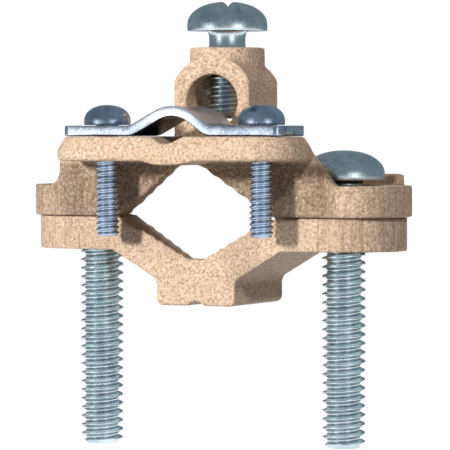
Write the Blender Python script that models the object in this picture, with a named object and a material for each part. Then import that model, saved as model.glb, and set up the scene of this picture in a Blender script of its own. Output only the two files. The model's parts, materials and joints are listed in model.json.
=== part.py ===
"""Earthing pipe clamp with two sand-cast bronze jaws, in metres, +Z up.

The origin is midway between the two long screws, on the plane where the jaws
meet. +X runs from the left screw to the right screw, +Y runs along the pipe
towards the back of the clamp, and +Z points up towards the wire lug.
"""

import math

import bmesh
import bpy
from mathutils import Vector

for old_object in list(bpy.data.objects):
    bpy.data.objects.remove(old_object, do_unlink=True)

MM = 0.001

# Long screws that pull the jaws together
SCREW_SPACING = 38.1 * MM
MAIN_THREAD_RADIUS = 3.175 * MM
MAIN_SCREW_LENGTH = 38.1 * MM
MAIN_HEAD_RADIUS = 5.8 * MM
MAIN_HEAD_HEIGHT = 4.4 * MM
MAIN_SLOT_WIDTH = 1.75 * MM
MAIN_SLOT_DEPTH = 2.0 * MM
LEFT_SLOT_DEGREES = 70
RIGHT_SLOT_DEGREES = 24
RIGHT_SCREW_BACKED_OUT = 0.6 * MM

# Screw that presses the earth wire down in the lug
WIRE_SCREW_LENGTH = 12.7 * MM
WIRE_SCREW_BACKED_OUT = 2.45 * MM
WIRE_SCREW_Y = 2.2 * MM
WIRE_SLOT_DEGREES = -52

# Bent steel strap over the cable
STRAP_LENGTH = 33.34 * MM
STRAP_WIDTH = 9.525 * MM
STRAP_THICKNESS = 1.35 * MM
STRAP_CORNER_RADIUS = 1.05 * MM
STRAP_HOLE_MARGIN = 4.77 * MM
STRAP_LEFT_FLAT = 10.77 * MM
STRAP_RIGHT_FLAT = 11.32 * MM
HUMP_PEAK = (0.67 * MM, 3.53 * MM)
HUMP_CREST_RADIUS = 4.3 * MM
HUMP_FOOT_RADIUS = 3.0 * MM
CREST_SHARE = 0.65
FOOT_SHARE = 0.3

# Small screws that hold the cable strap
STRAP_SCREW_SPACING = STRAP_LENGTH - 2 * STRAP_HOLE_MARGIN
STRAP_SCREW_Y = -12.9 * MM
STRAP_THREAD_RADIUS = 1.75 * MM
STRAP_SCREW_LENGTH = 15.875 * MM
STRAP_HEAD_RADIUS = 3.3 * MM
STRAP_HEAD_HEIGHT = 2.85 * MM
STRAP_SLOT_WIDTH = 1.05 * MM
STRAP_SLOT_DEPTH = 1.1 * MM
STRAP_LEFT_SLOT_DEGREES = 20
STRAP_RIGHT_SLOT_DEGREES = -93

# Fits between pieces
SEAT_GAP = 0.2 * MM
THREAD_GAP = 0.25 * MM
PASSING_GAP = 0.3 * MM
PARTING_GAP = 0.3 * MM

# Upper jaw
UPPER_HALF_DEPTH = 9.5 * MM
UPPER_EAR_EASE = 0.2 * MM
UPPER_EAR_RADIUS = UPPER_HALF_DEPTH + UPPER_EAR_EASE
UPPER_EAR_TOP = 4.5 * MM
SADDLE_TOP = 11.0 * MM
SADDLE_TOP_HALF_WIDTH = 8.6 * MM
SADDLE_FOOT_HALF_WIDTH = 15.6 * MM
POCKET_CLEARANCE = 0.6 * MM
FRONT_WALL_THICKNESS = 1.9 * MM
FRONT_WALL_TOP_LEFT = 17.0 * MM
FRONT_WALL_TOP_RIGHT = 16.1 * MM
FRONT_WALL_LEFT_REACH = 21.4 * MM
FRONT_WALL_RIGHT_REACH = 21.4 * MM
FRONT_WALL_FILLET = 2.0 * MM
REAR_RIB_THICKNESS = 1.7 * MM
REAR_RIB_TOP = 6.1 * MM
REAR_RIB_END_DEGREES = 47
REAR_RIB_INSET = 0.1 * MM

# Shelf in front of the upper jaw, where the cable lies under its strap
SHELF_TOP = 11.45 * MM
SHELF_BOTTOM = 7.9 * MM
SHELF_TOP_RADIUS = 5.95 * MM
SHELF_BELLY_RADIUS = 7.15 * MM
SHELF_BELLY_TOP = 9.6 * MM
SHELF_BELLY_BOTTOM = 8.4 * MM
SHELF_UNDER_RADIUS = 6.9 * MM
SHELF_KEEL_LEFT = -4.8 * MM
SHELF_KEEL_RIGHT = 8.0 * MM
SHELF_KEEL_HALF_WIDTH = 1.3 * MM
SHELF_KEEL_DEPTH = 0.55 * MM
CABLE_GROOVE_HALF_WIDTH = 2.4 * MM
CABLE_GROOVE_FLOOR_HALF_WIDTH = 0.7 * MM
CABLE_GROOVE_DEPTH = 1.0 * MM

# Wire lug on top of the upper jaw
LUG_HALF_WIDTH = 5.9 * MM
LUG_FRONT_Y = -3.5 * MM
LUG_DEPTH = 10.5 * MM
LUG_ARCH_RADIUS = 6.7 * MM
WIRE_BORE_Z = 16.3 * MM
WIRE_BORE_RADIUS = 3.95 * MM
COLLAR_RADIUS = 5.55 * MM
COLLAR_TOP_RADIUS = 5.45 * MM
COLLAR_TOP = 24.2 * MM

# Lower jaw
LOWER_EAR_RADIUS = 9.0 * MM
LOWER_EAR_THICKNESS = 4.65 * MM
LOWER_REAR_SETBACK = 0.6 * MM
LOWER_REAR_Y = LOWER_EAR_RADIUS - LOWER_REAR_SETBACK
ARM_FOOT_HALF_WIDTH = 13.2 * MM
PAD_HALF_WIDTH = 6.15 * MM
PAD_TOP = -8.95 * MM
PAD_BOTTOM = -12.65 * MM
PAD_EDGE_RADIUS = 0.9 * MM
PAD_NOTCH_HALF_WIDTH = 1.3 * MM
PAD_NOTCH_DEPTH = 0.65 * MM

# Toothed pipe seats, each a V that is straight at the front and flares to the back
UPPER_VEE_FLOOR_Z = 8.1 * MM
UPPER_VEE_FLOOR_HALF_WIDTH = 0.75 * MM
UPPER_VEE_SHIFT = -0.9 * MM
UPPER_VEE_SHOULDER = (9.9 * MM, 1.45 * MM)
UPPER_VEE_FLARE = 0.49
LOWER_VEE_FLOOR_Z = -5.95 * MM
LOWER_VEE_FLOOR_HALF_WIDTH = 1.4 * MM
LOWER_VEE_SHIFT = 0 * MM
LOWER_VEE_SHOULDER = (9.1 * MM, -1.6 * MM)
LOWER_VEE_FLARE = 0.43
VEE_MOUTH_HALF_WIDTH = 12.5 * MM
VEE_MOUTH_HEIGHT = 0.6 * MM
VEE_LIP_FLOOR = 1.2 * MM
VEE_LIP_SHOULDER = 2.4 * MM
VEE_LIP_MOUTH = 3.6 * MM
VEE_REAR_START = 13.0 * MM
VEE_MOUTH_FLARE = 0.34
VEE_REAR_FLARE = 0.5
VEE_FLOOR_FALL = 0.035
TOOTH_COUNT = 5
TOOTH_HEIGHT = 0.22 * MM

# Facets on round shapes
SHANK_SIDES = 32
HEAD_SIDES = 40
HEAD_RINGS = 8
HEAD_CROWN = 0.92
HOLE_SIDES = 32
SMALL_HOLE_SIDES = 24
BORE_SIDES = 36
ARC_STEPS = 10
OVERSHOOT = 1.0 * MM


def make_material(name, colour, metallic, roughness):
    """Return a Principled material with one colour and one finish."""
    material = bpy.data.materials.new(name)
    material.use_nodes = True
    shader = material.node_tree.nodes["Principled BSDF"]
    shader.inputs["Base Color"].default_value = (*colour, 1.0)
    shader.inputs["Metallic"].default_value = metallic
    shader.inputs["Roughness"].default_value = roughness
    return material


def add_object(name, build_mesh, material=None):
    """Make a mesh object from a bmesh, or a hidden working shape when it has no material."""
    bmesh.ops.recalc_face_normals(build_mesh, faces=build_mesh.faces)
    mesh = bpy.data.meshes.new(name)
    build_mesh.to_mesh(mesh)
    build_mesh.free()
    shape = bpy.data.objects.new(name, mesh)
    bpy.context.scene.collection.objects.link(shape)
    if material is None:
        shape.hide_render = True
        shape.display_type = "WIRE"
    else:
        mesh.materials.append(material)
        mesh.shade_smooth()
        mesh.set_sharp_from_angle(angle=math.radians(35))
    return shape


def combine(shape, operand, operation):
    """Join, cut or intersect a shape with a hidden working shape."""
    modifier = shape.modifiers.new(f"{operation.lower()} {operand.name}", "BOOLEAN")
    modifier.operation = operation
    modifier.solver = "EXACT"
    modifier.object = operand


def loft(name, rings, material=None):
    """Close a skin over rings of equal length, with a flat face on each end ring."""
    build_mesh = bmesh.new()
    loops = [[build_mesh.verts.new(point) for point in ring] for ring in rings]
    for lower, upper in zip(loops, loops[1:]):
        for index in range(len(lower)):
            after = (index + 1) % len(lower)
            build_mesh.faces.new((lower[index], lower[after], upper[after], upper[index]))
    build_mesh.faces.new(loops[0])
    build_mesh.faces.new(loops[-1])
    return add_object(name, build_mesh, material)


def prism_along_y(name, outline, front, back, material=None):
    """Extrude an (x, z) outline from the front plane to the back plane."""
    rings = [[(x, y, z) for x, z in outline] for y in (front, back)]
    return loft(name, rings, material)


def prism_along_z(name, outline, bottom, top, material=None):
    """Extrude an (x, y) outline from the bottom plane to the top plane."""
    rings = [[(x, y, z) for x, y in outline] for z in (bottom, top)]
    return loft(name, rings, material)


def turned(name, profile, sides, material=None):
    """Turn an (r, z) profile about Z; its first and last points lie on the axis."""
    build_mesh = bmesh.new()
    verts = [build_mesh.verts.new((radius, 0, z)) for radius, z in profile]
    edges = [build_mesh.edges.new(pair) for pair in zip(verts, verts[1:])]
    bmesh.ops.spin(
        build_mesh,
        geom=verts + edges,
        cent=(0, 0, 0),
        axis=(0, 0, 1),
        angle=math.tau,
        steps=sides,
        use_merge=True,
    )
    bmesh.ops.remove_doubles(build_mesh, verts=build_mesh.verts, dist=1e-6)
    return add_object(name, build_mesh, material)


def rod(name, radius, start, end, sides=HOLE_SIDES):
    """Make a hidden straight rod between two points on a line along Y or Z."""
    along_y = abs(end[1] - start[1]) > abs(end[2] - start[2])
    rings = []
    for centre in (start, end):
        ring = []
        for index in range(sides):
            angle = math.tau * index / sides
            across = radius * math.cos(angle)
            up = radius * math.sin(angle)
            offset = (across, 0, up) if along_y else (across, up, 0)
            ring.append(tuple(a + b for a, b in zip(centre, offset)))
        rings.append(ring)
    return loft(name, rings)


def arc(centre, radius, start_degrees, end_degrees, steps=ARC_STEPS):
    """Return points along an arc, both ends included."""
    points = []
    for index in range(steps + 1):
        angle = math.radians(start_degrees + (end_degrees - start_degrees) * index / steps)
        points.append((centre[0] + radius * math.cos(angle), centre[1] + radius * math.sin(angle)))
    return points


def rounded(corners, steps=4):
    """Round each (x, y, radius) corner of a closed outline; radius 0 keeps it sharp."""
    points = []
    count = len(corners)
    for index, (x, y, radius) in enumerate(corners):
        if radius == 0:
            points.append((x, y))
            continue
        before = corners[index - 1]
        after = corners[(index + 1) % count]
        points.extend(corner_arc((x, y), before[:2], after[:2], radius, steps))
    return points


def corner_arc(corner, before, after, radius, steps):
    """Return the points of the arc that touches both sides of one corner."""
    to_before = (before[0] - corner[0], before[1] - corner[1])
    to_after = (after[0] - corner[0], after[1] - corner[1])
    first = math.atan2(to_before[1], to_before[0])
    last = math.atan2(to_after[1], to_after[0])
    opening = (last - first + math.pi) % math.tau - math.pi
    middle = first + opening / 2
    reach = radius / abs(math.sin(opening / 2))
    centre = (corner[0] + reach * math.cos(middle), corner[1] + reach * math.sin(middle))
    half_turn = (math.pi - abs(opening)) / 2 * math.copysign(1, opening)
    start = math.degrees(middle + math.pi + half_turn)
    end = math.degrees(middle + math.pi - half_turn)
    return arc(centre, radius, start, end, steps)


def ear_outline(radius, front, back, steps=14):
    """Return the plan of a jaw: a half circle round each screw, flat at the front and back."""
    half_spacing = SCREW_SPACING / 2
    front_angle = math.degrees(math.asin(-front / radius))
    back_angle = math.degrees(math.asin(back / radius))
    right = arc((half_spacing, 0), radius, -front_angle, back_angle, steps)
    left = arc((-half_spacing, 0), radius, 180 - back_angle, 180 + front_angle, steps)
    return right + left


def back_edge(radius, back):
    """Return the back of a plan, from the side of the right ear round to that of the left."""
    half_spacing = SCREW_SPACING / 2
    turn = math.degrees(math.asin(back / radius))
    right = arc((half_spacing, 0), radius, REAR_RIB_END_DEGREES, turn)
    left = arc((-half_spacing, 0), radius, 180 - turn, 180 - REAR_RIB_END_DEGREES)
    return right + left


def stadium(half_spacing, centre_y, radius, steps=12):
    """Return the plan of two half circles joined by straight sides."""
    right = arc((half_spacing, centre_y), radius, -90, 90, steps)
    left = arc((-half_spacing, centre_y), radius, 90, 270, steps)
    return right + left


def toothed_flank(start, end):
    """Return points from start to end with teeth that stand out towards the middle."""
    run = (end[0] - start[0], end[1] - start[1])
    length = math.hypot(*run)
    side = -math.copysign(1, start[1])
    normal = (-abs(run[1]) / length, side * abs(run[0]) / length)
    points = [start]
    for index in range(TOOTH_COUNT):
        for share, height in ((0.5, TOOTH_HEIGHT), (1.0, 0.0)):
            step = (index + share) / TOOTH_COUNT
            x = start[0] + run[0] * step + normal[0] * height
            z = start[1] + run[1] * step + normal[1] * height
            points.append((x, z))
    return points


def vee_half(depth, seat, shift):
    """Return the right half of a pipe seat's section at a depth, floor first and mouth last."""
    floor_z, floor_half_width, shoulder, flare = seat
    side = math.copysign(1, floor_z)
    floor_out = shift + flare * max(0, depth - VEE_LIP_FLOOR)
    shoulder_out = flare * max(0, depth - VEE_LIP_SHOULDER)
    mouth_out = VEE_MOUTH_FLARE * max(0, depth - VEE_LIP_MOUTH)
    mouth_out += VEE_REAR_FLARE * max(0, depth - VEE_REAR_START)
    floor = (floor_half_width + floor_out, floor_z + side * VEE_FLOOR_FALL * depth)
    turn = (shoulder[0] + shoulder_out, shoulder[1])
    mouth_x = max(VEE_MOUTH_HALF_WIDTH + mouth_out, turn[0] + MM)
    half = toothed_flank(floor, turn)
    half.append((mouth_x, side * VEE_MOUTH_HEIGHT))
    half.append((mouth_x + OVERSHOOT / 4, -side * OVERSHOOT))
    return half


def vee_cutter(name, front, back, shift, seat):
    """Make the cutter of a pipe seat, straight behind its lip and then flaring out."""
    length = back - front
    depths = (-OVERSHOOT, VEE_LIP_FLOOR, VEE_LIP_SHOULDER, VEE_LIP_MOUTH, VEE_REAR_START)
    rings = []
    for depth in depths + (max(length, VEE_REAR_START) + OVERSHOOT,):
        right = vee_half(depth, seat, shift)
        left = [(-x, z) for x, z in reversed(vee_half(depth, seat, -shift))]
        rings.append([(x, front + depth, z) for x, z in right + left])
    return loft(name, rings)


def saddle_block():
    """Return the body over the upper pipe seat, which carries the lug."""
    outline = [
        (-SADDLE_FOOT_HALF_WIDTH, UPPER_EAR_TOP / 2),
        (SADDLE_FOOT_HALF_WIDTH, UPPER_EAR_TOP / 2),
        (SADDLE_FOOT_HALF_WIDTH, UPPER_EAR_TOP),
        (SADDLE_TOP_HALF_WIDTH, SADDLE_TOP),
        (-SADDLE_TOP_HALF_WIDTH, SADDLE_TOP),
        (-SADDLE_FOOT_HALF_WIDTH, UPPER_EAR_TOP),
    ]
    back = UPPER_HALF_DEPTH - REAR_RIB_THICKNESS / 2
    return prism_along_y("saddle block", outline, FRONT_WALL_THICKNESS / 2 - UPPER_HALF_DEPTH, back)


def front_wall():
    """Return the thin wall that rises from the ears to the shelf, with sloping ends."""
    drop = (SHELF_TOP - UPPER_EAR_TOP) / 2
    foot = -FRONT_WALL_LEFT_REACH - FRONT_WALL_FILLET
    corners = [
        (foot, UPPER_EAR_TOP / 2, 0),
        (FRONT_WALL_RIGHT_REACH, UPPER_EAR_TOP / 2, 0),
        (FRONT_WALL_RIGHT_REACH, UPPER_EAR_TOP, 0),
        (FRONT_WALL_TOP_RIGHT, SHELF_TOP - SEAT_GAP, 0.6 * MM),
        (-FRONT_WALL_TOP_LEFT, SHELF_TOP - SEAT_GAP, 0.6 * MM),
        (-FRONT_WALL_LEFT_REACH, UPPER_EAR_TOP + drop, 1.0 * MM),
        (-FRONT_WALL_LEFT_REACH, UPPER_EAR_TOP, FRONT_WALL_FILLET),
        (foot, UPPER_EAR_TOP, 0),
    ]
    back = FRONT_WALL_THICKNESS - UPPER_HALF_DEPTH
    return prism_along_y("front wall", rounded(corners), -UPPER_HALF_DEPTH, back)


def rear_rib():
    """Return the low rib that runs along the back edge and on round the back of the ears."""
    outer = back_edge(UPPER_EAR_RADIUS - REAR_RIB_INSET, UPPER_HALF_DEPTH - REAR_RIB_INSET)
    inner = back_edge(UPPER_EAR_RADIUS - REAR_RIB_THICKNESS, UPPER_HALF_DEPTH - REAR_RIB_THICKNESS)
    return prism_along_z("rear rib", outer + inner[::-1], UPPER_EAR_TOP / 2, REAR_RIB_TOP)


def cable_shelf():
    """Return the shelf under the strap: a narrow top, a wider belly and a tucked-in underside."""
    levels = [
        (SHELF_BOTTOM, SHELF_UNDER_RADIUS),
        (SHELF_BELLY_BOTTOM, SHELF_BELLY_RADIUS),
        (SHELF_BELLY_TOP, SHELF_BELLY_RADIUS),
        (SHELF_TOP, SHELF_TOP_RADIUS),
    ]
    rings = []
    for z, radius in levels:
        plan = stadium(STRAP_SCREW_SPACING / 2, STRAP_SCREW_Y, radius)
        rings.append([(x, y, z) for x, y in plan])
    return loft("cable shelf", rings)


def shelf_keel():
    """Return the low swelling under the shelf, where the cable groove would thin it."""
    top = SHELF_BELLY_BOTTOM
    keel = SHELF_BOTTOM - SHELF_KEEL_DEPTH
    outline = [
        (SHELF_KEEL_LEFT, top),
        (-SHELF_KEEL_HALF_WIDTH, keel),
        (SHELF_KEEL_HALF_WIDTH, keel),
        (SHELF_KEEL_RIGHT, top),
    ]
    front = STRAP_SCREW_Y - (SHELF_UNDER_RADIUS + SHELF_BELLY_RADIUS) / 2
    return prism_along_y("shelf keel", outline, front, FRONT_WALL_THICKNESS / 2 - UPPER_HALF_DEPTH)


def lug_barrel():
    """Return the arch-shaped block round the wire bore."""
    shoulder = math.degrees(math.acos(LUG_HALF_WIDTH / LUG_ARCH_RADIUS))
    crown = arc((0, WIRE_BORE_Z), LUG_ARCH_RADIUS, shoulder, 180 - shoulder, 16)
    foot = SADDLE_TOP - OVERSHOOT
    outline = [(-LUG_HALF_WIDTH, foot), (LUG_HALF_WIDTH, foot)] + crown
    return prism_along_y("lug barrel", outline, LUG_FRONT_Y, LUG_FRONT_Y + LUG_DEPTH)


def lug_collar():
    """Return the round collar that the wire screw is threaded through."""
    rings = []
    for z, radius in ((WIRE_BORE_Z, COLLAR_RADIUS), (COLLAR_TOP, COLLAR_TOP_RADIUS)):
        ring = arc((0, WIRE_SCREW_Y), radius, 0, 360, HEAD_SIDES)[:-1]
        rings.append([(x, y, z) for x, y in ring])
    return loft("lug collar", rings)


def cable_groove():
    """Return the cutter of the shallow groove that centres the cable on the shelf."""
    floor = SHELF_TOP - CABLE_GROOVE_DEPTH
    outline = [
        (-CABLE_GROOVE_FLOOR_HALF_WIDTH, floor),
        (CABLE_GROOVE_FLOOR_HALF_WIDTH, floor),
        (CABLE_GROOVE_HALF_WIDTH, SHELF_TOP),
        (CABLE_GROOVE_HALF_WIDTH, SHELF_TOP + OVERSHOOT),
        (-CABLE_GROOVE_HALF_WIDTH, SHELF_TOP + OVERSHOOT),
        (-CABLE_GROOVE_HALF_WIDTH, SHELF_TOP),
    ]
    front = STRAP_SCREW_Y - SHELF_BELLY_RADIUS - OVERSHOOT
    return prism_along_y("cable groove", outline, front, LUG_FRONT_Y - OVERSHOOT / 2)


def build_upper_jaw(material):
    """Cast the upper jaw: ears, saddle, shelf and lug, then cut its seat and holes."""
    plan = ear_outline(UPPER_EAR_RADIUS, -UPPER_HALF_DEPTH, UPPER_HALF_DEPTH)
    jaw = prism_along_z("upper_jaw", plan, PARTING_GAP / 2, UPPER_EAR_TOP, material)
    envelope = prism_along_z("upper plan", plan, -OVERSHOOT, SHELF_TOP + OVERSHOOT)
    for part in (front_wall(), saddle_block()):
        combine(part, envelope, "INTERSECT")
        combine(jaw, part, "UNION")
    combine(jaw, rear_rib(), "UNION")
    pocket_radius = MAIN_HEAD_RADIUS + POCKET_CLEARANCE
    for side in (-1, 1):
        x = side * SCREW_SPACING / 2
        foot = (x, 0, UPPER_EAR_TOP)
        pocket = rod(f"head pocket {side}", pocket_radius, foot, (x, 0, COLLAR_TOP), HEAD_SIDES)
        combine(jaw, pocket, "DIFFERENCE")
    for part in (cable_shelf(), shelf_keel(), lug_barrel(), lug_collar()):
        combine(jaw, part, "UNION")
    seat = (UPPER_VEE_FLOOR_Z, UPPER_VEE_FLOOR_HALF_WIDTH, UPPER_VEE_SHOULDER, UPPER_VEE_FLARE)
    front = -UPPER_HALF_DEPTH
    cutter = vee_cutter("upper pipe seat", front, UPPER_HALF_DEPTH, UPPER_VEE_SHIFT, seat)
    combine(jaw, cutter, "DIFFERENCE")
    combine(jaw, cable_groove(), "DIFFERENCE")
    cut_upper_holes(jaw)
    return jaw


def cut_upper_holes(jaw):
    """Cut the holes for the long screws, the strap screws, the wire screw and the wire."""
    for side in (-1, 1):
        x = side * SCREW_SPACING / 2
        radius = MAIN_THREAD_RADIUS + PASSING_GAP
        hole = rod(f"upper screw hole {side}", radius, (x, 0, -OVERSHOOT), (x, 0, SHELF_TOP))
        combine(jaw, hole, "DIFFERENCE")
        x = side * STRAP_SCREW_SPACING / 2
        radius = STRAP_THREAD_RADIUS + THREAD_GAP
        start = (x, STRAP_SCREW_Y, SHELF_BOTTOM - OVERSHOOT)
        end = (x, STRAP_SCREW_Y, SHELF_TOP + OVERSHOOT)
        hole = rod(f"strap screw hole {side}", radius, start, end, SMALL_HOLE_SIDES)
        combine(jaw, hole, "DIFFERENCE")
    back = LUG_FRONT_Y + LUG_DEPTH + OVERSHOOT
    start = (0, LUG_FRONT_Y - OVERSHOOT, WIRE_BORE_Z)
    bore = rod("wire bore", WIRE_BORE_RADIUS, start, (0, back, WIRE_BORE_Z), BORE_SIDES)
    combine(jaw, bore, "DIFFERENCE")
    radius = MAIN_THREAD_RADIUS + THREAD_GAP
    start = (0, WIRE_SCREW_Y, WIRE_BORE_Z)
    hole = rod("wire screw hole", radius, start, (0, WIRE_SCREW_Y, COLLAR_TOP + OVERSHOOT))
    combine(jaw, hole, "DIFFERENCE")


def lower_outline():
    """Return the front view of the lower jaw: ears, sloping arms and the pad under the seat."""
    ear_reach = SCREW_SPACING / 2 + LOWER_EAR_RADIUS
    top = -PARTING_GAP / 2
    ear_bottom = top - LOWER_EAR_THICKNESS
    notch_top = PAD_BOTTOM + PAD_NOTCH_DEPTH
    half = [
        (PAD_NOTCH_HALF_WIDTH * 0.3, notch_top, 0),
        (PAD_NOTCH_HALF_WIDTH, PAD_BOTTOM, 0.5 * MM),
        (PAD_HALF_WIDTH, PAD_BOTTOM, PAD_EDGE_RADIUS),
        (PAD_HALF_WIDTH, PAD_TOP, 1.2 * MM),
        (ARM_FOOT_HALF_WIDTH, ear_bottom, 1.5 * MM),
        (ear_reach, ear_bottom, 0),
        (ear_reach, top, 0),
    ]
    mirrored = [(-x, z, radius) for x, z, radius in reversed(half)]
    return rounded(half + mirrored)


def build_lower_jaw(material):
    """Cast the lower jaw: one front outline through its depth, trimmed to its plan."""
    jaw = prism_along_y(
        "lower_jaw", lower_outline(), -LOWER_EAR_RADIUS - OVERSHOOT, LOWER_EAR_RADIUS + OVERSHOOT, material
    )
    plan = ear_outline(LOWER_EAR_RADIUS, -LOWER_EAR_RADIUS, LOWER_REAR_Y)
    envelope = prism_along_z("lower plan", plan, PAD_BOTTOM - OVERSHOOT, OVERSHOOT)
    combine(jaw, envelope, "INTERSECT")
    seat = (LOWER_VEE_FLOOR_Z, LOWER_VEE_FLOOR_HALF_WIDTH, LOWER_VEE_SHOULDER, LOWER_VEE_FLARE)
    front = -LOWER_EAR_RADIUS
    cutter = vee_cutter("lower pipe seat", front, LOWER_REAR_Y, LOWER_VEE_SHIFT, seat)
    combine(jaw, cutter, "DIFFERENCE")
    for side in (-1, 1):
        x = side * SCREW_SPACING / 2
        radius = MAIN_THREAD_RADIUS + THREAD_GAP
        hole = rod(f"lower screw hole {side}", radius, (x, 0, PAD_BOTTOM), (x, 0, OVERSHOOT))
        combine(jaw, hole, "DIFFERENCE")
    return jaw


def screw_profile(length, thread_radius, head_radius, head_height):
    """Return the (r, z) profile of a round-head screw whose head rests on z = 0.

    The dome is a quarter of an ellipse whose sine and cosine are raised to the crown's
    power, which flattens its top a little.
    """
    rim = 0.18 * head_height
    dome = head_height - rim
    chamfer = 0.2 * thread_radius
    profile = [(0, head_height)]
    for index in range(1, HEAD_RINGS + 1):
        angle = math.pi / 2 * index / HEAD_RINGS
        across = math.sin(angle) ** HEAD_CROWN
        up = max(0, math.cos(angle)) ** HEAD_CROWN
        profile.append((head_radius * across, rim + dome * up))
    profile.append((head_radius * 0.985, 0))
    profile.append((thread_radius, 0))
    profile.append((thread_radius, chamfer - length))
    profile.append((thread_radius - chamfer, -length))
    profile.append((0, -length))
    return profile


def build_screw(name, place, length, thread, head, slot, slot_degrees, material):
    """Turn a slotted round-head screw and stand it at place, on its own turning axis."""
    head_radius, head_height = head
    slot_width, slot_depth = slot
    profile = screw_profile(length, thread, head_radius, head_height)
    screw = turned(name, profile, SHANK_SIDES, material)
    reach = head_radius + OVERSHOOT
    floor = head_height - slot_depth
    above = head_height + OVERSHOOT
    outline = [(-reach, floor), (reach, floor), (reach, above), (-reach, above)]
    cutter = prism_along_y(f"slot {name}", outline, -slot_width / 2, slot_width / 2)
    cutter.parent = screw
    combine(screw, cutter, "DIFFERENCE")
    screw.location = place
    screw.rotation_euler = (0, 0, math.radians(slot_degrees))
    return screw


def bend_arc(before, corner, after, radius, longest, steps):
    """Return the arc of a bend, with its radius limited by the length it may take up."""
    to_before = Vector(before) - Vector(corner)
    to_after = Vector(after) - Vector(corner)
    half_opening = to_before.angle(to_after) / 2
    fitting = min(radius, longest * math.tan(half_opening))
    return corner_arc(corner, before, after, fitting, steps)


def strap_underside():
    """Return the strap's underside as (x, z) points: flat ends and a hump over the cable."""
    bottom = SHELF_TOP + SEAT_GAP
    half = STRAP_LENGTH / 2
    left_end = (-half, bottom)
    left_foot = (STRAP_LEFT_FLAT - half, bottom)
    peak = (HUMP_PEAK[0], bottom + HUMP_PEAK[1])
    right_foot = (half - STRAP_RIGHT_FLAT, bottom)
    right_end = (half, bottom)
    side = min(math.dist(left_foot, peak), math.dist(peak, right_foot))
    foot_room = FOOT_SHARE * side
    points = [left_end]
    points += bend_arc(left_end, left_foot, peak, HUMP_FOOT_RADIUS, foot_room, 5)
    points += bend_arc(left_foot, peak, right_foot, HUMP_CREST_RADIUS, CREST_SHARE * side, ARC_STEPS)
    points += bend_arc(peak, right_foot, right_end, HUMP_FOOT_RADIUS, foot_room, 5)
    points.append(right_end)
    return points


def thicken(line, thickness):
    """Return the line moved outwards by the thickness, square to its own direction."""
    moved = []
    for index, (x, z) in enumerate(line):
        before = line[max(0, index - 1)]
        after = line[min(len(line) - 1, index + 1)]
        run = (after[0] - before[0], after[1] - before[1])
        length = math.hypot(*run)
        moved.append((x - run[1] / length * thickness, z + run[0] / length * thickness))
    return moved


def build_strap(material):
    """Bend the strap from flat bar, round its corners and punch its two holes."""
    under = strap_underside()
    outline = under + list(reversed(thicken(under, STRAP_THICKNESS)))
    front = STRAP_SCREW_Y - STRAP_WIDTH / 2
    back = STRAP_SCREW_Y + STRAP_WIDTH / 2
    strap = prism_along_y("cable_strap", outline, front, back, material)
    half = STRAP_LENGTH / 2
    corners = [
        (-half, front, STRAP_CORNER_RADIUS),
        (half, front, STRAP_CORNER_RADIUS),
        (half, back, STRAP_CORNER_RADIUS),
        (-half, back, STRAP_CORNER_RADIUS),
    ]
    blank = prism_along_z("strap blank", rounded(corners, 5), SHELF_TOP - OVERSHOOT, COLLAR_TOP)
    combine(strap, blank, "INTERSECT")
    for side in (-1, 1):
        x = side * STRAP_SCREW_SPACING / 2
        radius = STRAP_THREAD_RADIUS + THREAD_GAP
        start = (x, STRAP_SCREW_Y, SHELF_BOTTOM)
        end = (x, STRAP_SCREW_Y, COLLAR_TOP)
        hole = rod(f"strap hole {side}", radius, start, end, SMALL_HOLE_SIDES)
        combine(strap, hole, "DIFFERENCE")
    return strap


def build_screws(material, small_material):
    """Place the two long screws, the wire screw and the two strap screws."""
    big_head = (MAIN_HEAD_RADIUS, MAIN_HEAD_HEIGHT)
    big_slot = (MAIN_SLOT_WIDTH, MAIN_SLOT_DEPTH)
    small_head = (STRAP_HEAD_RADIUS, STRAP_HEAD_HEIGHT)
    small_slot = (STRAP_SLOT_WIDTH, STRAP_SLOT_DEPTH)
    main_seat = UPPER_EAR_TOP + SEAT_GAP
    strap_seat = SHELF_TOP + SEAT_GAP + STRAP_THICKNESS + SEAT_GAP
    half_main = SCREW_SPACING / 2
    half_strap = STRAP_SCREW_SPACING / 2
    long_size = (MAIN_SCREW_LENGTH, MAIN_THREAD_RADIUS, big_head, big_slot)
    wire_size = (WIRE_SCREW_LENGTH, MAIN_THREAD_RADIUS, big_head, big_slot)
    small_size = (STRAP_SCREW_LENGTH, STRAP_THREAD_RADIUS, small_head, small_slot)
    left = (-half_main, 0, main_seat)
    build_screw("main_screw_left", left, *long_size, LEFT_SLOT_DEGREES, material)
    right = (half_main, 0, main_seat + RIGHT_SCREW_BACKED_OUT)
    build_screw("main_screw_right", right, *long_size, RIGHT_SLOT_DEGREES, material)
    middle = (0, WIRE_SCREW_Y, COLLAR_TOP + WIRE_SCREW_BACKED_OUT)
    build_screw("wire_set_screw", middle, *wire_size, WIRE_SLOT_DEGREES, material)
    left = (-half_strap, STRAP_SCREW_Y, strap_seat)
    build_screw("strap_screw_left", left, *small_size, STRAP_LEFT_SLOT_DEGREES, small_material)
    right = (half_strap, STRAP_SCREW_Y, strap_seat)
    build_screw("strap_screw_right", right, *small_size, STRAP_RIGHT_SLOT_DEGREES, small_material)


bronze = make_material("cast bronze", (0.62, 0.42, 0.25), 0.6, 0.6)
zinc = make_material("zinc plated steel", (0.55, 0.62, 0.65), 1.0, 0.3)
blue_zinc = make_material("blue zinc plated steel", (0.45, 0.55, 0.68), 1.0, 0.28)
bright_zinc = make_material("bright zinc strap", (0.75, 0.79, 0.83), 1.0, 0.25)
build_upper_jaw(bronze)
build_lower_jaw(bronze)
build_strap(bright_zinc)
build_screws(zinc, blue_zinc)
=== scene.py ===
import json
import math

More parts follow.
